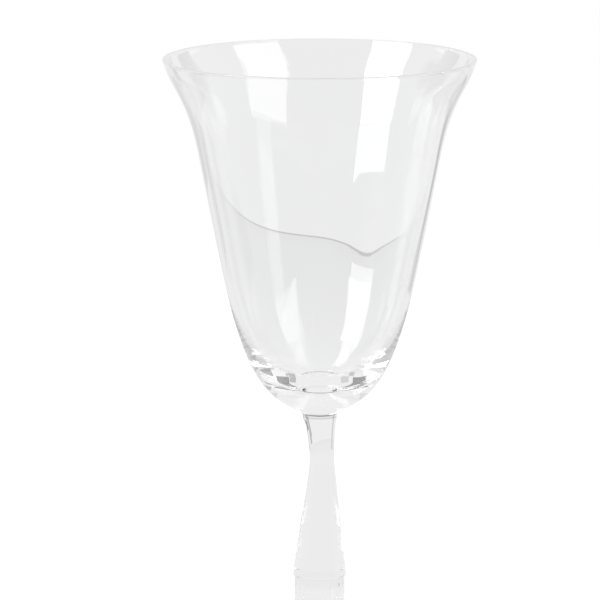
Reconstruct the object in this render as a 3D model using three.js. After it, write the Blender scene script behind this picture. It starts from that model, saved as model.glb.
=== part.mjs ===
import * as THREE from "three";

// A stemmed wine glass that stands on Z = 0 with its axis on Z. Sizes are in millimetres, angles in degrees.
// Each piece is turned from an outline of (radius, height) points: from the axis at its bottom, up its outside,
// and back to the axis. Headings along an outline are angles too: 0 is outward, 90 is up, 180 is inward.

// Bowl: a flared lip, a straight taper from throat to shoulder, and a full belly on a solid base
const RIM_DIAMETER = 90;
const THROAT_DIAMETER = 69.8;
const SHOULDER_DIAMETER = 56.4;
const BOWL_HEIGHT = 102.4;
const THROAT_DEPTH = 27;
const SHOULDER_DEPTH = 60.5;
const RIM_WALL = 1.2;
const THROAT_WALL = 1.5;
const SHOULDER_WALL = 1.9;
const BOWL_BASE_THICKNESS = 8.4;
const RIM_HEADING = 75;
const BOWL_SEAT_HEADING = 34;

// Neck ring: the thin cove of glass that joins the bowl to the stem
const NECK_RING_DIAMETER = 12;
const NECK_RING_THICKNESS = 0.9;

// Stem: drawn thin below the bowl, then widening down to a small bead
const STEM_TOP_DIAMETER = 9.8;
const STEM_WAIST_DIAMETER = 7.1;
const STEM_END_DIAMETER = 14.5;
const STEM_LENGTH = 47.1;
const STEM_WAIST_DEPTH = 13;
const STEM_END_HEADING = 93;
const STEM_BEAD_HEIGHT = 0.9;
const STEM_BEAD_PROUD = 0.35;

// Reeded knop: a band, a groove and a spreading stalk, all cut with upright reeds, a little inside the stem's end
const KNOP_LENGTH = 21;
const KNOP_BASE_DIAMETER = 19;
const KNOP_BASE_HEADING = 120;
const KNOP_BAND_HEIGHT = 2.3;
const KNOP_BAND_INSET = 0.15;
const KNOP_STALK_INSET = 0.3;
const KNOP_GROOVE_WIDTH = 0.8;
const KNOP_GROOVE_DEPTH = 0.4;
const REED_COUNT = 18;
const REED_DEPTH = 0.4;
const REED_TURN = 3;

// Foot: a round plate, hollowed a little underneath so that it stands on a ring
const FOOT_DIAMETER = 74;
const FOOT_HEIGHT = 6.6;
const FOOT_EDGE_THICKNESS = 2.2;
const FOOT_EDGE_HEADING = 176;
const FOOT_SEAT_HEADING = 128;
const RESTING_RING_WIDTH = 5;
const RESTING_RING_HEADING = -5;
const FOOT_HOLLOW_DEPTH = 1.3;

// Fullness of each curve: how far it keeps to the heading of its two ends, as shares of its length
const BELLY_PULLS = [0.157, 0.82];
const LIP_PULLS = [0.59, 0.31];
const INSIDE_BELLY_PULLS = [0.52, 0.36];
const COVE_PULLS = [0.3, 0.4];
const TRUMPET_PULLS = [0.29, 0.14];
const NECK_PULLS = [0.68, 0.19];
const STALK_PULLS = [0.25, 0.45];
const HOLLOW_PULLS = [0.4, 0.4];
const FOOT_PULLS = [0.45, 0.3];

// Fineness of the surfaces
const ROUND_SIDES = 64;
const SLIM_SIDES = 40;
const SIDES_PER_REED = 5;
const LONG_STEPS = 10;
const CURVE_STEPS = 6;
const EDGE_STEPS = 4;

const OUTWARD = 0;
const UP = 90;
const INWARD = 180;
const TURN_BACK = 180;

function point(radius, height) {
  return new THREE.Vector2(radius, height);
}

function heading(degrees) {
  const angle = THREE.MathUtils.degToRad(degrees);
  return point(Math.cos(angle), Math.sin(angle));
}

function headingBetween(from, to) {
  return THREE.MathUtils.radToDeg(to.clone().sub(from).angle());
}

// A smooth curve that leaves one point and reaches another, each with its own heading and pull
function curve(from, leaving, to, arriving, pulls, steps) {
  const length = from.distanceTo(to);
  const firstHandle = from.clone().addScaledVector(heading(leaving), pulls[0] * length);
  const lastHandle = to.clone().addScaledVector(heading(arriving), -pulls[1] * length);
  return new THREE.CubicBezierCurve(from, firstHandle, lastHandle, to).getPoints(steps);
}

// A half circle that takes an outline round a thin edge
function roundedEdge(centre, radius, startAngle) {
  const start = THREE.MathUtils.degToRad(startAngle);
  const arc = new THREE.EllipseCurve(centre.x, centre.y, radius, radius, start, start + Math.PI);
  return arc.getPoints(EDGE_STEPS);
}

// Neighbouring runs share their end points, so each repeat is dropped
function outline(...runs) {
  const points = runs.flat();
  return points.filter((p, i) => i === 0 || !p.equals(points[i - 1]));
}

function turned(points, sides) {
  return new THREE.LatheGeometry(points, sides).rotateX(Math.PI / 2);
}

function glass(color, roughness) {
  return new THREE.MeshStandardMaterial({ color, roughness, metalness: 0, transparent: true, opacity: 0.35 });
}

function piece(name, geometry, material, height) {
  const mesh = new THREE.Mesh(geometry, material);
  mesh.name = name;
  mesh.position.z = height;
  return mesh;
}

// The outside comes first, and the wall at the rim, throat and shoulder is then taken off it for the inside
function bowlGeometry() {
  const edge = RIM_WALL / 2;
  const seat = point(NECK_RING_DIAMETER / 2, 0);
  const shoulder = point(SHOULDER_DIAMETER / 2, BOWL_HEIGHT - SHOULDER_DEPTH);
  const throat = point(THROAT_DIAMETER / 2, BOWL_HEIGHT - THROAT_DEPTH);
  const rim = point(RIM_DIAMETER / 2, BOWL_HEIGHT - edge);
  const taper = headingBetween(shoulder, throat);
  const belly = curve(seat, BOWL_SEAT_HEADING, shoulder, taper, BELLY_PULLS, LONG_STEPS);
  const lip = curve(throat, taper, rim, RIM_HEADING, LIP_PULLS, CURVE_STEPS);
  const mouth = roundedEdge(point(rim.x - edge, rim.y), edge, OUTWARD);

  const insideRim = point(rim.x - RIM_WALL, rim.y);
  const insideThroat = point(throat.x - THROAT_WALL, throat.y);
  const insideShoulder = point(shoulder.x - SHOULDER_WALL, shoulder.y);
  const insideTaper = headingBetween(insideThroat, insideShoulder);
  const insideLip = curve(insideThroat, insideTaper + TURN_BACK, insideRim, RIM_HEADING, LIP_PULLS, CURVE_STEPS);
  const bottom = point(0, BOWL_BASE_THICKNESS);
  const insideBelly = curve(insideShoulder, insideTaper, bottom, INWARD, INSIDE_BELLY_PULLS, LONG_STEPS);

  const start = [point(0, 0), seat];
  return turned(outline(start, belly, lip, mouth, insideLip.reverse(), insideBelly), ROUND_SIDES);
}

function neckRingGeometry() {
  const stemSide = point(STEM_TOP_DIAMETER / 2, 0);
  const bowlSide = point(NECK_RING_DIAMETER / 2, NECK_RING_THICKNESS);
  const cove = curve(stemSide, UP, bowlSide, BOWL_SEAT_HEADING, COVE_PULLS, EDGE_STEPS);
  return turned(outline([point(0, 0)], cove, [point(0, NECK_RING_THICKNESS)]), SLIM_SIDES);
}

function stemGeometry() {
  const end = STEM_END_DIAMETER / 2;
  const beadBottom = point(end + STEM_BEAD_PROUD / 2, 0);
  const beadCrest = point(end + STEM_BEAD_PROUD, STEM_BEAD_HEIGHT / 2);
  const beadTop = point(end, STEM_BEAD_HEIGHT);
  const waist = point(STEM_WAIST_DIAMETER / 2, STEM_LENGTH - STEM_WAIST_DEPTH);
  const top = point(STEM_TOP_DIAMETER / 2, STEM_LENGTH);
  const trumpet = curve(beadTop, STEM_END_HEADING, waist, UP, TRUMPET_PULLS, LONG_STEPS);
  const neck = curve(waist, UP, top, UP, NECK_PULLS, CURVE_STEPS);
  const bead = [point(0, 0), beadBottom, beadCrest];
  return turned(outline(bead, trumpet, neck, [point(0, STEM_LENGTH)]), SLIM_SIDES);
}

// Each reed has a round back. Its crest lies on the outline, and the grooves on both sides lie deeper.
function cutReeds(geometry) {
  const position = geometry.getAttribute("position");
  const pitch = (2 * Math.PI) / REED_COUNT;
  const firstGroove = THREE.MathUtils.degToRad(REED_TURN) - Math.PI / 2;
  for (let i = 0; i < position.count; i += 1) {
    const x = position.getX(i);
    const y = position.getY(i);
    const radius = Math.hypot(x, y);
    if (radius > REED_DEPTH) {
      const share = THREE.MathUtils.euclideanModulo(Math.atan2(y, x) - firstGroove, pitch) / pitch;
      const fromCrest = 2 * share - 1;
      const cut = REED_DEPTH * (1 - Math.sqrt(1 - fromCrest * fromCrest));
      const scale = 1 - cut / radius;
      position.setXY(i, x * scale, y * scale);
    }
  }
  return geometry;
}

function knopGeometry() {
  const band = STEM_END_DIAMETER / 2 - KNOP_BAND_INSET;
  const stalk = STEM_END_DIAMETER / 2 - KNOP_STALK_INSET;
  const bandBottom = KNOP_LENGTH - KNOP_BAND_HEIGHT;
  const base = point(KNOP_BASE_DIAMETER / 2, 0);
  const stalkTop = point(stalk, bandBottom - KNOP_GROOVE_WIDTH);
  const grooveBottom = point(stalk - KNOP_GROOVE_DEPTH, bandBottom - KNOP_GROOVE_WIDTH / 2);
  const spread = curve(base, KNOP_BASE_HEADING, stalkTop, UP, STALK_PULLS, CURVE_STEPS);
  const top = [grooveBottom, point(band, bandBottom), point(band, KNOP_LENGTH), point(0, KNOP_LENGTH)];
  const plain = turned(outline([point(0, 0)], spread, top), REED_COUNT * SIDES_PER_REED);
  return cutReeds(plain.rotateZ(THREE.MathUtils.degToRad(REED_TURN)));
}

function footGeometry() {
  const edge = FOOT_EDGE_THICKNESS / 2;
  const edgeCentre = point(FOOT_DIAMETER / 2 - edge, edge);
  const edgeTop = point(edgeCentre.x, FOOT_EDGE_THICKNESS);
  const seat = point(KNOP_BASE_DIAMETER / 2, FOOT_HEIGHT);
  const hollowTop = point(0, FOOT_HOLLOW_DEPTH);
  const ringInside = point(edgeCentre.x - RESTING_RING_WIDTH, 0);
  const hollow = curve(hollowTop, OUTWARD, ringInside, RESTING_RING_HEADING, HOLLOW_PULLS, CURVE_STEPS);
  const rounded = roundedEdge(edgeCentre, edge, -UP);
  const upper = curve(edgeTop, FOOT_EDGE_HEADING, seat, FOOT_SEAT_HEADING, FOOT_PULLS, CURVE_STEPS);
  return turned(outline(hollow, rounded, upper, [point(0, FOOT_HEIGHT)]), ROUND_SIDES);
}

// The pieces stand on each other, face to face
const knopBottom = FOOT_HEIGHT;
const stemBottom = knopBottom + KNOP_LENGTH;
const neckRingBottom = stemBottom + STEM_LENGTH;
const bowlBottom = neckRingBottom + NECK_RING_THICKNESS;

const wineGlass = new THREE.Group();
wineGlass.add(piece("foot", footGeometry(), glass(0xeef1f1, 0.08), 0));
wineGlass.add(piece("reeded_knop", knopGeometry(), glass(0xe9eded, 0.06), knopBottom));
wineGlass.add(piece("stem", stemGeometry(), glass(0xebefef, 0.04), stemBottom));
wineGlass.add(piece("neck_ring", neckRingGeometry(), glass(0xe6eaea, 0.05), neckRingBottom));
wineGlass.add(piece("bowl", bowlGeometry(), glass(0xf0f3f3, 0.03), bowlBottom));

export default wineGlass;
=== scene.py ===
"""A clear stemmed wine glass in a pale studio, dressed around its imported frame.

Every piece is turned from a smooth outline about the Z axis. Lengths are in metres, angles in degrees.
An outline runs from the axis at a piece's bottom, up its outside, and back to the axis. Its headings are
angles too: 0 is outward, 90 is up and 180 is inward. A value whose name ends in heading or pull belongs to
the bend of the outline there. Bearings round the glass start at the front, -Y, and grow towards +X.
"""

import logging
import math
from collections.abc import Callable, Sequence
from dataclasses import dataclass
from enum import Enum
from functools import cache

import bmesh
import bpy
from mathutils import Euler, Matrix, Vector
from mathutils.geometry import interpolate_bezier


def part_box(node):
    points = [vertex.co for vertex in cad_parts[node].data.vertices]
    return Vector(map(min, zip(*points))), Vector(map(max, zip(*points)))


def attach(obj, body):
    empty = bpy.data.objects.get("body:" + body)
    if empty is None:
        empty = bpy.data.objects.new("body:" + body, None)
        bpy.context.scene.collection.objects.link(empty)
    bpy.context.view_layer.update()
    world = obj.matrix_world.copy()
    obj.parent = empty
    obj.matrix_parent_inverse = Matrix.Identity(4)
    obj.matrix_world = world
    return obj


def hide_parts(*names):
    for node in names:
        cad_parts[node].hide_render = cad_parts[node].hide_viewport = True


LOG = logging.getLogger("wine_glass")
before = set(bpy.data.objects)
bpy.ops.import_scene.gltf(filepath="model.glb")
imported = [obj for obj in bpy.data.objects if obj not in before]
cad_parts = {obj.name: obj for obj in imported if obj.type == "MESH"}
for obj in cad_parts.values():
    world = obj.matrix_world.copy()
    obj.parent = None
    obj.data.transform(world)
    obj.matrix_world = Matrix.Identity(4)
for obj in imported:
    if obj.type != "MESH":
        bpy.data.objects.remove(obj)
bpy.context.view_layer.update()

BODY = "root"
UP = 90.0
DOWN = -90.0
OUTWARD = 0.0
INWARD = 180.0
QUARTER_TURN = 90.0
HALF_TURN = 180.0
FULL_TURN = 360.0
HAIRLINE = 0.00001
WELD_DISTANCE = 0.0000005
SHARP_EDGE = 35.0
LONGEST_PATH = 24
LONGEST_CLEAR_PATH = 16
EVEN_PULL = 1 / 3
INSIDE_LAYER = "inside"


class Side(Enum):
    """The side of a wall that a stretch of outline draws."""

    OUTSIDE = 0.0
    INSIDE = 1.0


class Slot(Enum):
    """The material slots of a turned piece."""

    SURFACE = 0
    JOINT = 1


@dataclass(frozen=True)
class Bend:
    """A point of an outline that a smooth curve leaves or reaches.

    Attributes:
        radius: Distance from the axis.
        height: Height above the piece's bottom.
        heading: Direction of travel there.
        pull: How far the curve keeps to that heading, as a share of its length.
    """

    radius: float
    height: float
    heading: float = UP
    pull: float = EVEN_PULL

    def along(self, heading: float, pull: float = EVEN_PULL) -> "Bend":
        """Gives the same point with another heading and pull."""
        return Bend(self.radius, self.height, heading, pull)

    def at(self) -> Vector:
        """Gives the point in the plane of the outline."""
        return Vector((self.radius, 0, self.height))

    def towards(self) -> Vector:
        """Gives the heading as a direction in the plane of the outline."""
        angle = math.radians(self.heading)
        return Vector((math.cos(angle), 0, math.sin(angle)))


def curve(start: Bend, end: Bend, steps: int) -> list[Vector]:
    """Draws a smooth stretch of outline.

    Args:
        start: Where the stretch begins.
        end: Where it ends.
        steps: How many short lines it has.

    Returns:
        The points of the stretch, with both ends.
    """
    first, last = start.at(), end.at()
    length = (last - first).length
    first_handle = first + start.towards() * (start.pull * length)
    last_handle = last - end.towards() * (end.pull * length)
    return interpolate_bezier(first, first_handle, last_handle, last, steps + 1)


def arc(centre: Bend, radius: float, start: float, sweep: float, steps: int) -> list[Vector]:
    """Draws a round corner or edge.

    Args:
        centre: The middle of the arc.
        radius: Its radius.
        start: The angle at which it starts.
        sweep: How far it goes round.
        steps: How many short lines it has.

    Returns:
        The points of the arc, with both ends.
    """
    angles = [math.radians(start + sweep * step / steps) for step in range(steps + 1)]
    return [centre.at() + Vector((math.cos(a), 0, math.sin(a))) * radius for a in angles]


def seen_at(bearing: float, elevation: float) -> Vector:
    """Gives the direction of a bearing and an elevation."""
    around, above = math.radians(bearing), math.radians(elevation)
    level = math.cos(above)
    return Vector((math.sin(around) * level, -math.cos(around) * level, math.sin(above)))


def heading_between(start: Bend, end: Bend) -> float:
    """Gives the heading of the straight line from one point to another."""
    return math.degrees(math.atan2(end.height - start.height, end.radius - start.radius))


def new_object(name: str, mesh: bmesh.types.BMesh, *materials: bpy.types.Material) -> bpy.types.Object:
    """Makes a mesh an object in the scene.

    Args:
        name: The object's name.
        mesh: Its mesh, which is used up.
        materials: Its materials, slot by slot.

    Returns:
        The object.
    """
    data = bpy.data.meshes.new(name)
    mesh.to_mesh(data)
    mesh.free()
    for material in materials:
        data.materials.append(material)
    thing = bpy.data.objects.new(name, data)
    bpy.context.scene.collection.objects.link(thing)
    return thing


class Turning:
    """A piece of glass that is turned about the Z axis."""

    def __init__(self, name: str, bottom: float, sides: int) -> None:
        """Starts an empty piece.

        Args:
            name: The piece's name.
            bottom: Height of the piece's bottom above the table.
            sides: How many faces go round it.
        """
        self.name = name
        self.bottom = bottom
        self.sides = sides
        self.mesh = bmesh.new()
        self.inside = self.mesh.verts.layers.float.new(INSIDE_LAYER)
        self.last: bmesh.types.BMVert | None = None

    def draw(self, points: Sequence[Vector], side: Side = Side.OUTSIDE) -> None:
        """Adds a stretch to the outline.

        Args:
            points: The points of the stretch.
            side: The side of the wall that it draws.
        """
        for point in points:
            if self.last is not None and (point - self.last.co).length < WELD_DISTANCE:
                continue
            vert = self.mesh.verts.new(point)
            vert[self.inside] = side.value
            if self.last is not None:
                self.mesh.edges.new((self.last, vert))
            self.last = vert

    def draw_to_axis(self, height: float) -> None:
        """Takes the outline to the axis, at a height above the piece's bottom."""
        self.draw([Vector((0, 0, height))])

    def spin(self) -> None:
        """Turns the outline into a closed body whose faces point outwards."""
        outline = [*self.mesh.verts, *self.mesh.edges]
        bmesh.ops.spin(
            self.mesh, geom=outline, cent=(0, 0, 0), axis=(0, 0, 1), dvec=(0, 0, 0),
            angle=math.tau, steps=self.sides, use_merge=True,
            use_normal_flip=False, use_duplicate=False,
        )
        bmesh.ops.remove_doubles(self.mesh, verts=self.mesh.verts, dist=WELD_DISTANCE)
        bmesh.ops.recalc_face_normals(self.mesh, faces=self.mesh.faces)

    def push(self, change: Callable[[float, float], float], side: Side = Side.OUTSIDE) -> None:
        """Moves one side of the surface towards or away from the axis.

        Args:
            change: Gives the move outwards, from the bearing and the height above the piece's bottom.
            side: The side of the wall that moves.
        """
        for vert in self.mesh.verts:
            radius = math.hypot(vert.co.x, vert.co.y)
            if radius > HAIRLINE and vert[self.inside] == side.value:
                bearing = math.degrees(math.atan2(vert.co.x, -vert.co.y))
                vert.co.xy *= 1 + change(bearing, vert.co.z) / radius

    def part_joints(self, heights: Sequence[float]) -> None:
        """Gives the flat faces that are fused to a neighbour the joint slot, a hairline off the neighbour.

        Args:
            heights: The heights of those faces above the piece's bottom.
        """
        for height in heights:
            on_joint = {v for v in self.mesh.verts if abs(v.co.z - height) < WELD_DISTANCE}
            for face in self.mesh.faces:
                if on_joint.issuperset(face.verts):
                    face.material_index = Slot.JOINT.value
            inward = HAIRLINE if height < WELD_DISTANCE else -HAIRLINE
            bmesh.ops.translate(self.mesh, verts=list(on_joint), vec=(0, 0, inward))

    def finish(self, surface: bpy.types.Material, joint: bpy.types.Material) -> bpy.types.Object:
        """Makes the piece an object, in place.

        Args:
            surface: The glass of the piece.
            joint: What light meets where the piece is fused to its neighbour.

        Returns:
            The object.
        """
        bmesh.ops.translate(self.mesh, verts=self.mesh.verts, vec=(0, 0, self.bottom))
        for face in self.mesh.faces:
            face.smooth = True
        for edge in self.mesh.edges:
            edge.smooth = edge.calc_face_angle(0.0) < math.radians(SHARP_EDGE)
        return new_object(self.name, self.mesh, surface, joint)


class Graph:
    """The nodes of a material, a world or a node group."""

    def __init__(self, tree: bpy.types.NodeTree) -> None:
        """Empties the tree and works on it."""
        self.tree = tree
        tree.nodes.clear()

    def add(self, kind: str, inputs: dict[str, object] | None = None, **settings: object) -> bpy.types.Node:
        """Adds a node.

        Args:
            kind: The node's type.
            inputs: What goes into its sockets, by name or number: another socket or a plain value.
            settings: The node's own settings.

        Returns:
            The node.
        """
        node = self.tree.nodes.new(kind)
        for name, value in settings.items():
            setattr(node, name, value)
        for name, value in (inputs or {}).items():
            socket = node.inputs[name]
            if isinstance(value, bpy.types.NodeSocket):
                self.tree.links.new(value, socket)
            else:
                socket.default_value = value
        return node

    def math(self, operation: str, *values: object) -> bpy.types.NodeSocket:
        """Adds a sum and gives its result."""
        return self.add("ShaderNodeMath", dict(enumerate(values)), operation=operation).outputs[0]

    def group(self, tree: bpy.types.NodeTree, inputs: dict[str, object]) -> bpy.types.NodeSocket:
        """Adds a shared effect and gives its result.

        Args:
            tree: The effect's node group.
            inputs: What goes into its sockets.

        Returns:
            The effect's one output.
        """
        return self.add("ShaderNodeGroup", inputs, node_tree=tree).outputs[0]

    def radius(self, parts: bpy.types.Node) -> bpy.types.NodeSocket:
        """Gives the distance from the axis of a position that is split into its parts."""
        flat = self.add("ShaderNodeCombineXYZ", {"X": parts.outputs["X"], "Y": parts.outputs["Y"]})
        return self.add("ShaderNodeVectorMath", {0: flat.outputs[0]}, operation="LENGTH").outputs["Value"]

    def seen_by_glass(self) -> bpy.types.NodeSocket:
        """Gives 1 for rays that glass has bent or mirrored, and 0 for all others."""
        ray = self.add("ShaderNodeLightPath")
        return self.math("MAXIMUM", ray.outputs["Is Glossy Ray"], ray.outputs["Is Transmission Ray"])

    def ramp(
            self, value: bpy.types.NodeSocket, stops: Sequence[tuple[float, float]]) -> bpy.types.NodeSocket:
        """Turns a value into a grey.

        Args:
            value: What the ramp reads.
            stops: Positions on the ramp and the grey at each.

        Returns:
            The ramp's colour.
        """
        node = self.add("ShaderNodeValToRGB", {"Fac": value})
        elements = node.color_ramp.elements
        while len(elements) < len(stops):
            elements.new(0.5)
        for element, (position, grey) in zip(elements, stops):
            element.position = position
            element.color = (grey, grey, grey, 1)
        return node.outputs["Color"]


def new_material(name: str) -> tuple[bpy.types.Material, Graph]:
    """Starts a material and gives it with its empty graph."""
    material = bpy.data.materials.new(name)
    material.use_nodes = True
    return material, Graph(material.node_tree)


class SharedEffect:
    """A node group that several materials use."""

    def __init__(self, name: str, inputs: dict[str, str], output: str) -> None:
        """Starts an empty group.

        Args:
            name: The group's name.
            inputs: Its sockets, each with its type.
            output: The name of its one result.
        """
        self.tree = bpy.data.node_groups.new(name, "ShaderNodeTree")
        for label, kind in inputs.items():
            self.tree.interface.new_socket(name=label, in_out="INPUT", socket_type=kind)
        self.tree.interface.new_socket(name=output, in_out="OUTPUT", socket_type="NodeSocketFloat")
        self.graph = Graph(self.tree)
        self.given = self.graph.add("NodeGroupInput").outputs

    def result(self, value: bpy.types.NodeSocket) -> bpy.types.NodeTree:
        """Sends a value out of the group and gives the group."""
        self.graph.add("NodeGroupOutput", {0: value})
        return self.tree


@cache
def joint_shade_line() -> bpy.types.NodeTree:
    """Builds the mask of a level line or band of painted shade, at a given height and width."""
    effect = SharedEffect("joint_shade_line", {
        "Position": "NodeSocketVector", "Height": "NodeSocketFloat", "Width": "NodeSocketFloat"}, "Line")
    graph, given = effect.graph, effect.given
    height = graph.add("ShaderNodeSeparateXYZ", {0: given["Position"]}).outputs["Z"]
    off = graph.math("ABSOLUTE", graph.math("SUBTRACT", height, given["Height"]))
    share = graph.math("DIVIDE", off, given["Width"])
    line = graph.add("ShaderNodeMapRange", {
        "Value": share, "From Min": 0.35, "From Max": 1.0, "To Min": 1.0, "To Max": 0.0})
    return effect.result(line.outputs[0])


@cache
def handling_smudges() -> bpy.types.NodeTree:
    """Builds the effect of the faint smudges that washing and fingers leave."""
    effect = SharedEffect("handling_smudges", {
        "Position": "NodeSocketVector", "Scale": "NodeSocketFloat", "Amount": "NodeSocketFloat"},
        "Roughness")
    graph, given = effect.graph, effect.given
    cloud = graph.add("ShaderNodeTexNoise", {
        "Vector": given["Position"], "Scale": given["Scale"], "Detail": 3.0, "Roughness": 0.55})
    patch = graph.add("ShaderNodeMapRange", {
        "Value": cloud.outputs["Fac"], "From Min": 0.54, "From Max": 0.72})
    return effect.result(graph.math("MULTIPLY", patch.outputs[0], given["Amount"]))


@cache
def drawn_ripple() -> bpy.types.NodeTree:
    """Builds the effect of the faint waves that pulling and fire polishing leave on glass."""
    effect = SharedEffect("drawn_ripple", {
        "Position": "NodeSocketVector", "Scale": "NodeSocketFloat", "Stretch": "NodeSocketFloat"}, "Height")
    graph, given = effect.graph, effect.given
    along = graph.math("DIVIDE", 1.0, given["Stretch"])
    stretch = graph.add("ShaderNodeCombineXYZ", {"X": 1.0, "Y": 1.0, "Z": along})
    drawn = graph.add(
        "ShaderNodeVectorMath", {0: given["Position"], 1: stretch.outputs[0]}, operation="MULTIPLY")
    wave = graph.add("ShaderNodeTexNoise", {
        "Vector": drawn.outputs[0], "Scale": given["Scale"], "Detail": 1.0, "Roughness": 0.4})
    return effect.result(wave.outputs["Fac"])


@dataclass(frozen=True)
class JointShadeLine:
    """A line or band of painted shade: darker glass at a height in a piece.

    Attributes:
        height: Its height above the table.
        width: How far it spreads to either side.
        tint: The darker colour painted there as shade.
    """

    height: float
    width: float
    tint: tuple[float, float, float]


@dataclass(frozen=True)
class GlassFinish:
    """Clear, fire-polished glass.

    Attributes:
        name: The material's name.
        tint: The colour that the glass lets through.
        line: Its line or band of painted shade, where it has one.
        smudge: How rough its smudges are.
        smudge_scale: How many smudges there are to a metre.
        ripple: How high its waves are.
        ripple_scale: How many waves there are to a metre.
        stretch: How much longer the waves are along the axis.
        ior: Its refractive index.
        deep_glow: How bright the painted light is, an emission that stands in for light trapped in the thick
            glass below the deep height.
        wall_glow: How bright the painted light is, an emission that stands in for light trapped in the thin
            wall above the wall height.
        deep_height: The height above the table up to which the glass counts as thick.
        wall_height: The height above the table from which it counts as thin.
    """

    name: str
    tint: tuple[float, float, float]
    line: JointShadeLine | None = None
    smudge: float = 0.012
    smudge_scale: float = 45.0
    ripple: float = 0.0
    ripple_scale: float = 260.0
    stretch: float = 6.0
    ior: float = 1.5
    deep_glow: float = 0.05
    wall_glow: float = 0.78
    deep_height: float = 0.09
    wall_height: float = 0.12

    def glow(self, graph: Graph, position: bpy.types.NodeSocket) -> bpy.types.NodeSocket:
        """Gives the painted light of paths that end inside the glass: an emission, dim in the thick glass and
        bright in the thin wall.
        """
        path = graph.add("ShaderNodeLightPath")
        spent = graph.math("GREATER_THAN", path.outputs["Ray Depth"], LONGEST_PATH + 0.5)
        height = graph.add("ShaderNodeSeparateXYZ", {0: position}).outputs["Z"]
        share = graph.add("ShaderNodeMapRange", {
            "Value": height, "From Min": self.deep_height, "From Max": self.wall_height,
            "To Min": self.deep_glow, "To Max": self.wall_glow})
        return graph.math("MULTIPLY", spent, share.outputs[0])

    def colour(self, graph: Graph, position: bpy.types.NodeSocket) -> object:
        """Gives what the glass lets through: its tint, and a darker one as painted shade in its shade line.
        """
        if self.line is None:
            return (*self.tint, 1)
        # painted shade: the mask darkens the glass's colour along a level line or band
        mask = graph.group(joint_shade_line(), {
            "Position": position, "Height": self.line.height, "Width": self.line.width})
        mix = graph.add("ShaderNodeMix", {
            "Factor": mask, "A": (*self.tint, 1), "B": (*self.line.tint, 1)}, data_type="RGBA")
        return mix.outputs["Result"]

    def normal(self, graph: Graph, position: bpy.types.NodeSocket) -> bpy.types.NodeSocket:
        """Gives the normal of the rippled surface."""
        waves = graph.group(drawn_ripple(), {
            "Position": position, "Scale": self.ripple_scale, "Stretch": self.stretch})
        bump = graph.add("ShaderNodeBump", {"Height": waves, "Distance": self.ripple, "Strength": 1.0})
        return bump.outputs[0]

    def roughness(self, graph: Graph, position: bpy.types.NodeSocket) -> bpy.types.NodeSocket:
        """Gives how rough the surface is: polished, with faint smudges."""
        return graph.group(handling_smudges(), {
            "Position": position, "Scale": self.smudge_scale, "Amount": self.smudge})

    def material(self) -> bpy.types.Material:
        """Builds the material."""
        material, graph = new_material(self.name)
        position = graph.add("ShaderNodeTexCoord").outputs["Object"]
        inputs = {
            "Base Color": self.colour(graph, position), "Roughness": self.roughness(graph, position),
            "IOR": self.ior, "Transmission Weight": 1.0,
            # painted light: the emission of paths that end inside the glass
            "Emission Color": self.glow(graph, position), "Emission Strength": 1.0,
        }
        if self.ripple:
            inputs["Normal"] = self.normal(graph, position)
        shader = graph.add("ShaderNodeBsdfPrincipled", inputs)
        graph.add("ShaderNodeOutputMaterial", {"Surface": shader.outputs["BSDF"]})
        return material


@dataclass(frozen=True)
class WornGlassFinish(GlassFinish):
    """Glass with a ring underneath that is scuffed by tables.

    Attributes:
        ring_radius: The middle of the scuffed ring.
        ring_reach: How far it spreads inwards and outwards.
        ring_height: The height up to which the glass is scuffed.
        scuff: How rough the scuffs are.
        scuff_scale: How many scuffs there are to a metre.
    """

    ring_radius: float = 0.0335
    ring_reach: float = 0.0022
    ring_height: float = 0.0003
    scuff: float = 0.32
    scuff_scale: float = 2600.0

    def roughness(self, graph: Graph, position: bpy.types.NodeSocket) -> bpy.types.NodeSocket:
        """Gives how rough the surface is: polished and smudged, and scuffed on the resting ring."""
        parts = graph.add("ShaderNodeSeparateXYZ", {0: position})
        off = graph.math("ABSOLUTE", graph.math("SUBTRACT", graph.radius(parts), self.ring_radius))
        ring = graph.add("ShaderNodeMapRange", {
            "Value": off, "From Min": 0.0, "From Max": self.ring_reach, "To Min": 1.0, "To Max": 0.0})
        under = graph.math("LESS_THAN", parts.outputs["Z"], self.ring_height)
        grain = graph.add("ShaderNodeTexNoise", {
            "Vector": position, "Scale": self.scuff_scale, "Detail": 4.0})
        marks = graph.add("ShaderNodeMapRange", {
            "Value": grain.outputs["Fac"], "From Min": 0.35, "From Max": 0.65})
        worn = graph.math("MULTIPLY", graph.math("MULTIPLY", ring.outputs[0], under), marks.outputs[0])
        scuffs = graph.math("MULTIPLY", worn, self.scuff)
        return graph.math("MAXIMUM", super().roughness(graph, position), scuffs)


@dataclass(frozen=True)
class FusedJoint:
    """A hot joint, through which light passes as if the two pieces were one.

    Attributes:
        name: The material's name.
    """

    name: str = "fused_joint"

    def material(self) -> bpy.types.Material:
        """Builds the material."""
        material, graph = new_material(self.name)
        shader = graph.add("ShaderNodeBsdfPrincipled", {
            "Base Color": (1, 1, 1, 1), "Roughness": 0.0, "IOR": 1.0, "Transmission Weight": 1.0,
        })
        graph.add("ShaderNodeOutputMaterial", {"Surface": shader.outputs["BSDF"]})
        return material


@dataclass(frozen=True)
class Swell:
    """A broad thick spot that blowing leaves in a wall.

    Attributes:
        bearing: The bearing of its middle.
        height: Its height above the bowl's bottom.
        reach_round: How far it spreads round the bowl, as an angle.
        reach_up: How far it spreads up and down.
        amount: How much thicker the wall is in its middle.
    """

    bearing: float
    height: float
    reach_round: float
    reach_up: float
    amount: float

    def at(self, bearing: float, height: float) -> float:
        """Gives the extra thickness at a bearing and a height."""
        off_round = (bearing - self.bearing + HALF_TURN) % FULL_TURN - HALF_TURN
        off_up = height - self.height
        fading = (off_round / self.reach_round) ** 2 + (off_up / self.reach_up) ** 2
        return self.amount * math.exp(-fading)


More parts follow.
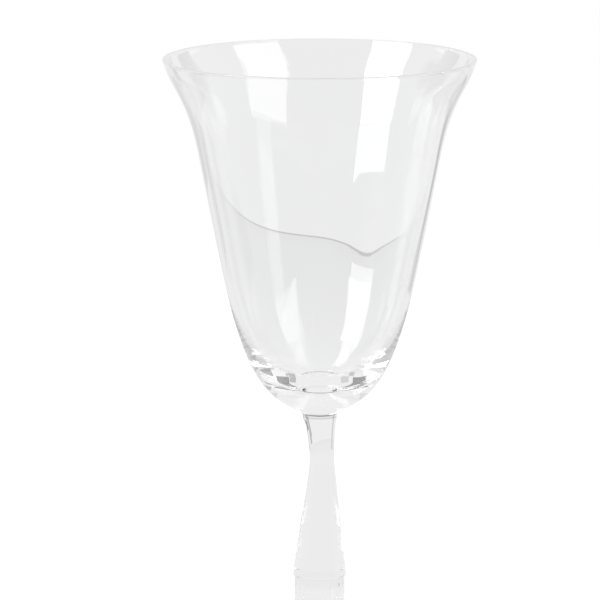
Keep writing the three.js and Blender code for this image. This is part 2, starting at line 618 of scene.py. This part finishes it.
@dataclass
class Bowl:
    """The blown bowl: a flared lip, a straight taper, and a full belly on a solid base.

    The throat is where the taper meets the flared lip, and the shoulder is where it meets the belly. Inside,
    the taper runs on to the belly depth. Depths count down from the rim, walls are measured level, and a lean
    is how far the inside's heading is turned from its straight taper.
    """

    throat_radius: float = 0.0349
    throat_depth: float = 0.027
    shoulder_radius: float = 0.0282
    shoulder_depth: float = 0.0605
    belly_depth: float = 0.0627
    seat_radius: float = 0.006
    rim_wall: float = 0.001
    rim_edge: float = 0.0003
    throat_wall: float = 0.00149
    shoulder_wall: float = 0.001706
    base_thickness: float = 0.0084
    rim_heading: float = 75.0
    seat_heading: float = 34.0
    throat_lean: float = 0.14
    shoulder_lean: float = 0.05
    seat_pull: float = 0.157
    shoulder_pull: float = 0.82
    throat_pull: float = 0.59
    rim_pull: float = 0.31
    in_rim_pull: float = 0.297
    in_throat_pull: float = 0.614
    in_belly_pull: float = 0.665
    in_base_pull: float = 0.346
    belly_steps: int = 40
    taper_steps: int = 16
    lip_steps: int = 24
    edge_steps: int = 6
    sides: int = 256
    finish: GlassFinish = GlassFinish("bowl_glass", (0.993, 0.995, 0.995))
    swells: tuple[Swell, ...] = (
        Swell(52.6, 0.0683, 15.3, 0.016, 0.00033),
        Swell(147.2, 0.0542, 21.8, 0.016, 0.00037),
        Swell(152, 0.069, 18, 0.008, 0.00011),
    )

    def outside(self, depth: float, rim_radius: float) -> list[Vector]:
        """Draws the outside, from the seat on the neck ring up to the rounded rim.

        Args:
            depth: Height of the rim above the bowl's bottom.
            rim_radius: The rim's outer radius.

        Returns:
            The points of the outline.
        """
        edge, in_rim_radius = self.rim_edge, rim_radius - self.rim_wall
        seat = Bend(self.seat_radius, 0, self.seat_heading, self.seat_pull)
        shoulder = Bend(self.shoulder_radius, depth - self.shoulder_depth)
        throat = Bend(self.throat_radius, depth - self.throat_depth)
        rim = Bend(rim_radius, depth - edge, self.rim_heading, self.rim_pull)
        taper = heading_between(shoulder, throat)
        return [
            *curve(seat, shoulder.along(taper, self.shoulder_pull), self.belly_steps),
            *curve(shoulder.along(taper), throat.along(taper), self.taper_steps),
            *curve(throat.along(taper, self.throat_pull), rim, self.lip_steps),
            *arc(Bend(rim_radius - edge, depth - edge), edge, OUTWARD, QUARTER_TURN, self.edge_steps),
            *arc(Bend(in_rim_radius + edge, depth - edge), edge, UP, QUARTER_TURN, self.edge_steps),
        ]

    def inside(self, depth: float, rim_radius: float) -> list[Vector]:
        """Draws the inside, from the rim down to the middle of the base.

        Args:
            depth: Height of the rim above the bowl's bottom.
            rim_radius: The rim's outer radius.

        Returns:
            The points of the outline.
        """
        rim = Bend(rim_radius - self.rim_wall, depth - self.rim_edge)
        throat = Bend(self.throat_radius - self.throat_wall, depth - self.throat_depth)
        shoulder = Bend(self.shoulder_radius - self.shoulder_wall, depth - self.shoulder_depth)
        share = (self.belly_depth - self.throat_depth) / (self.shoulder_depth - self.throat_depth)
        belly_at = throat.at().lerp(shoulder.at(), share)
        belly = Bend(belly_at.x, belly_at.z)
        base = Bend(0, self.base_thickness, INWARD, self.in_base_pull)
        taper = heading_between(throat, shoulder)
        top_taper, low_taper = taper + self.throat_lean, taper + self.shoulder_lean
        return [
            *curve(
                rim.along(self.rim_heading + HALF_TURN, self.in_rim_pull),
                throat.along(top_taper, self.in_throat_pull), self.lip_steps),
            *curve(throat.along(top_taper), belly.along(low_taper), self.taper_steps),
            *curve(belly.along(low_taper, self.in_belly_pull), base, self.belly_steps),
        ]

    def uneven(self, bearing: float, height: float) -> float:
        """Gives how far the blown wall's inside is off its true outline."""
        return -sum(swell.at(bearing, height) for swell in self.swells)

    def build(self, joint: bpy.types.Material) -> bpy.types.Object:
        """Turns the bowl.

        Args:
            joint: The material of its fused face.

        Returns:
            The bowl.
        """
        low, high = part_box("bowl")
        depth, rim_radius = high.z - low.z, high.x
        turning = Turning("blown_bowl", low.z, self.sides)
        turning.draw_to_axis(0)
        turning.draw(self.outside(depth, rim_radius))
        turning.draw(self.inside(depth, rim_radius), Side.INSIDE)
        turning.spin()
        turning.push(self.uneven, Side.INSIDE)
        turning.part_joints([0])
        return turning.finish(self.finish.material(), joint)


@dataclass
class NeckRing:
    """The thin cove of glass between bowl and stem. Its grey tint and near-black line are painted shade
    between the two.
    """

    stem_radius: float = 0.0049
    stem_pull: float = 0.3
    bowl_heading: float = 34.0
    bowl_pull: float = 0.4
    steps: int = 8
    sides: int = 192
    # painted shade: the ring's glass is tinted mid grey and given a near-black line across it
    finish: GlassFinish = GlassFinish(
        "ring_glass", (0.703, 0.705, 0.705), JointShadeLine(0.07505, 0.00035, (0.1, 0.105, 0.105)))

    def build(self, joint: bpy.types.Material) -> bpy.types.Object:
        """Turns the ring.

        Args:
            joint: The material of its fused faces.

        Returns:
            The ring.
        """
        low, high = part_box("neck_ring")
        thickness = high.z - low.z
        on_stem = Bend(self.stem_radius, 0, UP, self.stem_pull)
        under_bowl = Bend(high.x, thickness, self.bowl_heading, self.bowl_pull)
        turning = Turning("hot_joined_neck_ring", low.z, self.sides)
        turning.draw_to_axis(0)
        turning.draw(curve(on_stem, under_bowl, self.steps))
        turning.draw_to_axis(thickness)
        turning.spin()
        turning.part_joints([0, thickness])
        return turning.finish(self.finish.material(), joint)


@dataclass
class Stem:
    """The drawn stem: thin at the waist below the bowl, then widening down to a narrow lip.

    It bows a little to one side, most of all above its middle.
    """

    top_radius: float = 0.0049
    top_pull: float = 0.19
    waist_radius: float = 0.00355
    waist_depth: float = 0.013
    waist_pull_up: float = 0.68
    waist_pull_down: float = 0.14
    end_heading: float = 95.0
    end_pull: float = 0.29
    lip_height: float = 0.0003
    lip_heading: float = 60.0
    lip_pull: float = 0.4
    bow: float = 0.0007
    bow_power: float = 1.8
    lip_steps: int = 4
    trumpet_steps: int = 48
    neck_steps: int = 28
    sides: int = 192
    # painted shade: a darker line near the stem's top, under the neck ring
    finish: GlassFinish = GlassFinish(
        "stem_glass", (0.988, 0.99, 0.99), JointShadeLine(0.0742, 0.00035, (0.55, 0.555, 0.555)),
        ripple=0.000002, stretch=9.0)

    def bowed(self, share: float) -> float:
        """Gives how far the middle of the stem is off the axis, at a share of its length."""
        return self.bow * math.sin(math.pi * min(max(share, 0.0), 1.0) ** self.bow_power)

    def build(self, joint: bpy.types.Material) -> bpy.types.Object:
        """Turns the stem.

        Args:
            joint: The material of its fused faces.

        Returns:
            The stem.
        """
        low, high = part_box("stem")
        length, end_radius = high.z - low.z, high.x
        under_lip = Bend(end_radius - self.lip_height / 2, 0, self.lip_heading, self.lip_pull)
        end = Bend(end_radius, self.lip_height)
        waist = Bend(self.waist_radius, length - self.waist_depth)
        top = Bend(self.top_radius, length)
        turning = Turning("drawn_stem", low.z, self.sides)
        turning.draw_to_axis(0)
        turning.draw(curve(under_lip, end.along(UP, self.lip_pull), self.lip_steps))
        turning.draw(curve(
            end.along(self.end_heading, self.end_pull), waist.along(UP, self.waist_pull_down),
            self.trumpet_steps))
        turning.draw(curve(
            waist.along(UP, self.waist_pull_up), top.along(UP, self.top_pull), self.neck_steps))
        turning.draw_to_axis(length)
        turning.spin()
        for vert in turning.mesh.verts:
            vert.co.x += self.bowed(vert.co.z / length)
        turning.part_joints([0, length])
        return turning.finish(self.finish.material(), joint)


@dataclass
class ReededKnop:
    """The cut stalk under the stem: a shaft that spreads downwards, whose reeds run out in its top band."""

    shaft_radius: float = 0.00722
    shaft_pull: float = 0.45
    base_heading: float = 120.0
    base_pull: float = 0.25
    band_height: float = 0.0031
    reeds: int = 18
    reed_depth: float = 0.0004
    band_depth: float = 0.00012
    run_out: float = 0.0012
    reed_turn: float = 4.5
    faces_per_reed: int = 16
    shaft_steps: int = 44
    band_steps: int = 12
    # painted shade: a slightly darker band on the knop's upper part
    finish: GlassFinish = GlassFinish(
        "knop_glass", (0.988, 0.99, 0.99), JointShadeLine(0.0262, 0.0022, (0.93, 0.935, 0.935)),
        ripple=0.000002, ripple_scale=420.0, stretch=1.5)

    def reeded(self, bearing: float, below_band: float) -> float:
        """Gives the cut beside a reed's crest, from the bearing and the distance below the top band."""
        cut = min(max(below_band / self.run_out, 0.0), 1.0)
        depth = self.band_depth + (self.reed_depth - self.band_depth) * cut * cut * (3 - 2 * cut)
        share = (bearing - self.reed_turn) * self.reeds / FULL_TURN % 1
        from_crest = 2 * share - 1
        return -depth * (1 - math.sqrt(max(0.0, 1 - from_crest ** 2)))

    def build(self, joint: bpy.types.Material) -> bpy.types.Object:
        """Turns the knop and cuts its reeds.

        Args:
            joint: The material of its fused faces.

        Returns:
            The knop.
        """
        low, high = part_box("reeded_knop")
        length, base_radius = high.z - low.z, high.x
        base = Bend(base_radius, 0, self.base_heading, self.base_pull)
        band = Bend(self.shaft_radius, length - self.band_height)
        turning = Turning("cut_knop", low.z, self.reeds * self.faces_per_reed)
        turning.draw_to_axis(0)
        turning.draw(curve(base, band.along(UP, self.shaft_pull), self.shaft_steps))
        turning.draw(curve(band, Bend(self.shaft_radius, length), self.band_steps))
        turning.draw_to_axis(length)
        turning.spin()
        turning.push(lambda bearing, height: self.reeded(bearing, band.height - height))
        turning.part_joints([0, length])
        return turning.finish(self.finish.material(), joint)


@dataclass
class Foot:
    """The round foot: a domed plate that is hollowed a little underneath and stands on a flat ring."""

    edge_thickness: float = 0.0022
    edge_heading: float = 176.0
    edge_pull: float = 0.45
    seat_radius: float = 0.0095
    seat_heading: float = 128.0
    seat_pull: float = 0.3
    ring_width: float = 0.005
    ring_heading: float = -5.0
    hollow_depth: float = 0.0013
    hollow_pull: float = 0.4
    hollow_steps: int = 30
    edge_steps: int = 12
    dome_steps: int = 40
    sides: int = 256
    finish: GlassFinish = WornGlassFinish("foot_glass", (0.988, 0.99, 0.99), ripple=0.000003, stretch=1.0)

    def build(self, joint: bpy.types.Material) -> bpy.types.Object:
        """Turns the foot.

        Args:
            joint: The material of its fused face.

        Returns:
            The foot.
        """
        low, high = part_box("foot")
        height, edge = high.z - low.z, self.edge_thickness / 2
        edge_middle = high.x - edge
        hollow = Bend(0, self.hollow_depth, OUTWARD, self.hollow_pull)
        ring = Bend(edge_middle - self.ring_width, 0, self.ring_heading, self.hollow_pull)
        edge_top = Bend(edge_middle, self.edge_thickness, self.edge_heading, self.edge_pull)
        seat = Bend(self.seat_radius, height, self.seat_heading, self.seat_pull)
        turning = Turning("pressed_foot", low.z, self.sides)
        turning.draw(curve(hollow, ring, self.hollow_steps))
        turning.draw(arc(Bend(edge_middle, edge), edge, DOWN, HALF_TURN, self.edge_steps))
        turning.draw(curve(edge_top, seat, self.dome_steps))
        turning.draw_to_axis(height)
        turning.spin()
        turning.part_joints([height])
        return turning.finish(self.finish.material(), joint)


@dataclass(frozen=True)
class Panel:
    """A softbox, or a dark card when its tone is low. Only the glass sees it.

    Attributes:
        name: Its name.
        corners: Bearing and elevation of each corner, seen from the glass.
        tone: How bright it is, where white is 1.
        distance: Its distance from the glass.
    """

    name: str
    corners: tuple[tuple[float, float], ...]
    tone: float
    distance: float = 6.0

    def material(self) -> bpy.types.Material:
        """Builds an evenly bright material."""
        material, graph = new_material(self.name)
        shader = graph.add("ShaderNodeEmission", {"Color": (1, 1, 1, 1), "Strength": self.tone})
        graph.add("ShaderNodeOutputMaterial", {"Surface": shader.outputs[0]})
        return material

    def hang(self, centre: Vector) -> None:
        """Hangs the panel beside the glass.

        Args:
            centre: The point from which its bearings and elevations count.
        """
        mesh = bmesh.new()
        mesh.faces.new([
            mesh.verts.new(centre + seen_at(*corner) * self.distance) for corner in self.corners])
        panel = new_object(self.name, mesh, self.material())
        panel.visible_camera = False
        panel.visible_diffuse = False
        panel.visible_shadow = False


@dataclass
class Studio:
    """The pale studio: a round table, the light round it, and the camera.

    Attributes:
        table_radius: The table's radius.
        table_thickness: Its thickness.
        table_sides: How many sides its round edge has.
        table_white: How light its matt paint is.
        table_lift: How much brighter the camera sees it than the light makes it.
        table_tones: Its tones in the glass, at shares of the way from its middle to its edge.
        edge_width: Width of the band of painted shade along its edge, which glass shows darker.
        edge_shade: How much darker the band is behind the glass.
        edge_fade: Between which shares of the table's radius to either side the band fades out.
        tent_tones: The room's tones in the glass, from the back at 0 to the front at 1.
        camera_distance: The camera's distance from the axis.
        camera_elevation: Its elevation, seen from the rim.
        camera_pitch: How far it looks down.
        camera_yaw: How far it is turned to the left.
        lens: Its focal length.
        far_clip: How far it sees.
        panels: The softboxes and cards.
    """

    table_radius: float = 0.7951
    table_thickness: float = 0.02
    table_sides: int = 256
    table_white: float = 0.5
    table_lift: float = 0.6
    table_tones: tuple[tuple[float, float], ...] = (
        (0.0, 0.865), (0.3, 0.86), (0.8, 0.835), (0.965, 0.815), (0.994, 0.79))
    edge_width: float = 0.0035
    edge_shade: float = 0.3
    edge_fade: tuple[float, float] = (0.06, 0.2)
    tent_tones: tuple[tuple[float, float], ...] = ((0.3, 0.875), (0.68, 0.63), (0.8, 0.5))
    camera_distance: float = 2.2
    camera_elevation: float = 7.36
    camera_pitch: float = 9.146
    camera_yaw: float = 0.147
    lens: float = 465.4
    far_clip: float = 50.0
    panels: tuple[Panel, ...] = (
        Panel("left_softbox", ((-41, 13.9), (-75, 11.4), (-83, 42), (-48, 49.5)), 5.0),
        Panel("right_softbox", ((33, 16), (71, 17.5), (76, 44), (32, 51.5)), 2.5),
        Panel("right_softbox_skirt", ((50, 9), (66, 9), (66, 17.5), (50, 16.5)), 1.2),
        Panel("left_overhead_softbox", ((-66, 56), (-88, 51), (-160, 44), (-163, 53)), 3.0),
        Panel("right_overhead_softbox", ((64, 49), (34, 55), (163, 58), (152, 51)), 1.9),
        Panel("left_soft_strip", ((-99, 9.5), (-111, 9.5), (-114, 16), (-102, 16)), 1.5),
        Panel("right_soft_strip", ((104, 8.5), (117, 8.5), (119, 14), (106, 14)), 1.3),
        Panel("left_dark_card", ((-112, 8), (-134, 8), (-134, 45), (-102, 45), (-102, 24), (-112, 22)), 0.3),
        Panel("right_dark_card", ((119, 7), (138, 7), (138, 45), (119, 45)), 0.28),
        Panel("left_near_card", ((-153, -0.7), (-143, -0.7), (-143, -7.5), (-153, -7.5)), 0.64, 0.175),
        Panel("left_far_card", ((-142, 0), (-135, 0), (-135, -17), (-142, -17)), 0.55, 0.42),
        Panel("right_near_card", ((150, -0.7), (141.5, -0.7), (141.5, -19), (150, -19)), 0.5, 0.175),
        Panel("right_far_card", ((146, 3), (135, 3), (135, -7), (146, -7)), 0.5, 1.0),
        Panel("right_side_card", ((94, 6), (116, 6), (116, -12), (94, -12)), 0.36, 0.5),
        Panel("right_front_card", ((49, -13.5), (62, -13.5), (62, 5), (49, 5)), 0.35, 0.5),
    )

    def table(self) -> None:
        """Builds the round table that the glass stands on."""
        mesh = bmesh.new()
        bmesh.ops.create_cone(
            mesh, cap_ends=True, cap_tris=False, segments=self.table_sides,
            radius1=self.table_radius, radius2=self.table_radius, depth=self.table_thickness,
        )
        bmesh.ops.translate(mesh, verts=mesh.verts, vec=(0, 0, -self.table_thickness / 2))
        new_object("table", mesh, self.table_material())

    def table_tone(self, graph: Graph) -> bpy.types.NodeSocket:
        """Gives the table's tone in the glass: softer towards its edge, with a band of painted shade along
        it.
        """
        position = graph.add("ShaderNodeTexCoord").outputs["Object"]
        parts = graph.add("ShaderNodeSeparateXYZ", {0: position})
        share = graph.math("DIVIDE", graph.radius(parts), self.table_radius)
        aside = graph.math("DIVIDE", graph.math("ABSOLUTE", parts.outputs[0]), self.table_radius)
        fade_from, fade_to = self.edge_fade
        shade = graph.add("ShaderNodeMapRange", {
            "Value": aside, "From Min": fade_from, "From Max": fade_to,
            "To Min": self.edge_shade, "To Max": 0.0})
        # painted shade: a dark band along the table's edge, darkest near the middle line and fading to either
        # side
        on_edge = graph.math("GREATER_THAN", share, 1 - self.edge_width / self.table_radius)
        mix = graph.add("ShaderNodeMix", {
            "Factor": graph.math("MULTIPLY", on_edge, shade.outputs[0]),
            "A": graph.ramp(share, self.table_tones), "B": (0, 0, 0, 1)}, data_type="RGBA")
        return mix.outputs["Result"]

    def table_material(self) -> bpy.types.Material:
        """Builds the table's matt white, which the glass sees in a softer tone."""
        material, graph = new_material("table_white")
        to_camera = graph.add("ShaderNodeLightPath").outputs["Is Camera Ray"]
        white = self.table_white
        matt = graph.add("ShaderNodeBsdfDiffuse", {"Color": (white, white, white, 1)})
        lift = graph.add("ShaderNodeEmission", {
            "Strength": graph.math("MULTIPLY", to_camera, self.table_lift)})
        lit = graph.add("ShaderNodeAddShader", {0: matt.outputs[0], 1: lift.outputs[0]})
        seen = graph.add("ShaderNodeEmission", {"Color": self.table_tone(graph), "Strength": 1.0})
        shader = graph.add("ShaderNodeMixShader", {
            0: graph.seen_by_glass(), 1: lit.outputs[0], 2: seen.outputs[0]})
        graph.add("ShaderNodeOutputMaterial", {"Surface": shader.outputs[0]})
        return material

    def world(self) -> None:
        """Lights the room evenly with white. The glass sees a pale tent that is darker at the front."""
        world = bpy.data.worlds.new("studio")
        bpy.context.scene.world = world
        world.use_nodes = True
        graph = Graph(world.node_tree)
        direction = graph.add("ShaderNodeTexCoord").outputs["Generated"]
        parts = graph.add("ShaderNodeSeparateXYZ", {0: direction})
        frontness = graph.math("MULTIPLY_ADD", parts.outputs[1], -0.5, 0.5)
        seen = graph.add("ShaderNodeMix", {
            "Factor": graph.seen_by_glass(), "A": (1, 1, 1, 1),
            "B": graph.ramp(frontness, self.tent_tones)}, data_type="RGBA")
        light = graph.add("ShaderNodeBackground", {"Color": seen.outputs["Result"], "Strength": 1.0})
        graph.add("ShaderNodeOutputWorld", {"Surface": light.outputs[0]})

    def camera(self) -> None:
        """Places the camera at the photograph's distance and angle."""
        rim_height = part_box("bowl")[1].z
        rise = self.camera_distance * math.tan(math.radians(self.camera_elevation))
        data = bpy.data.cameras.new("camera")
        data.lens = self.lens
        data.clip_end = self.far_clip
        camera = bpy.data.objects.new("camera", data)
        camera.location = (0, -self.camera_distance, rim_height + rise)
        camera.rotation_euler = Euler((
            math.radians(UP - self.camera_pitch), 0, math.radians(self.camera_yaw)))
        bpy.context.scene.collection.objects.link(camera)
        bpy.context.scene.camera = camera

    def build(self) -> None:
        """Builds the table, the light and the camera."""
        self.table()
        self.world()
        low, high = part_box("bowl")
        for panel in self.panels:
            panel.hang((low + high) / 2)
        self.camera()
        scene = bpy.context.scene
        scene.view_settings.view_transform = "Standard"
        scene.cycles.max_bounces = LONGEST_PATH
        scene.cycles.transmission_bounces = LONGEST_PATH
        scene.cycles.glossy_bounces = LONGEST_PATH
        scene.cycles.transparent_max_bounces = LONGEST_CLEAR_PATH


@dataclass(frozen=True)
class Place:
    """Which frame node a piece stands for, and its material slot in the record."""

    node: str
    slot: str


def dress_glass() -> None:
    """Builds every piece of the glass and puts it in its place in the frame."""
    joint = FusedJoint().material()
    pieces = [
        (Foot(), Place("foot", "foot_glass")),
        (ReededKnop(), Place("reeded_knop", "knop_glass")),
        (Stem(), Place("stem", "stem_glass")),
        (NeckRing(), Place("neck_ring", "ring_glass")),
        (Bowl(), Place("bowl", "bowl_glass")),
    ]
    for maker, place in pieces:
        piece = maker.build(joint)
        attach(piece, BODY)
        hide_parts(place.node)
        LOG.info("%s stands for %s, with %d faces", piece.name, place.node, len(piece.data.polygons))


def main() -> None:
    """Builds the glass and its studio."""
    logging.basicConfig(level=logging.INFO)
    dress_glass()
    Studio().build()


if __name__ == "__main__":
    main()
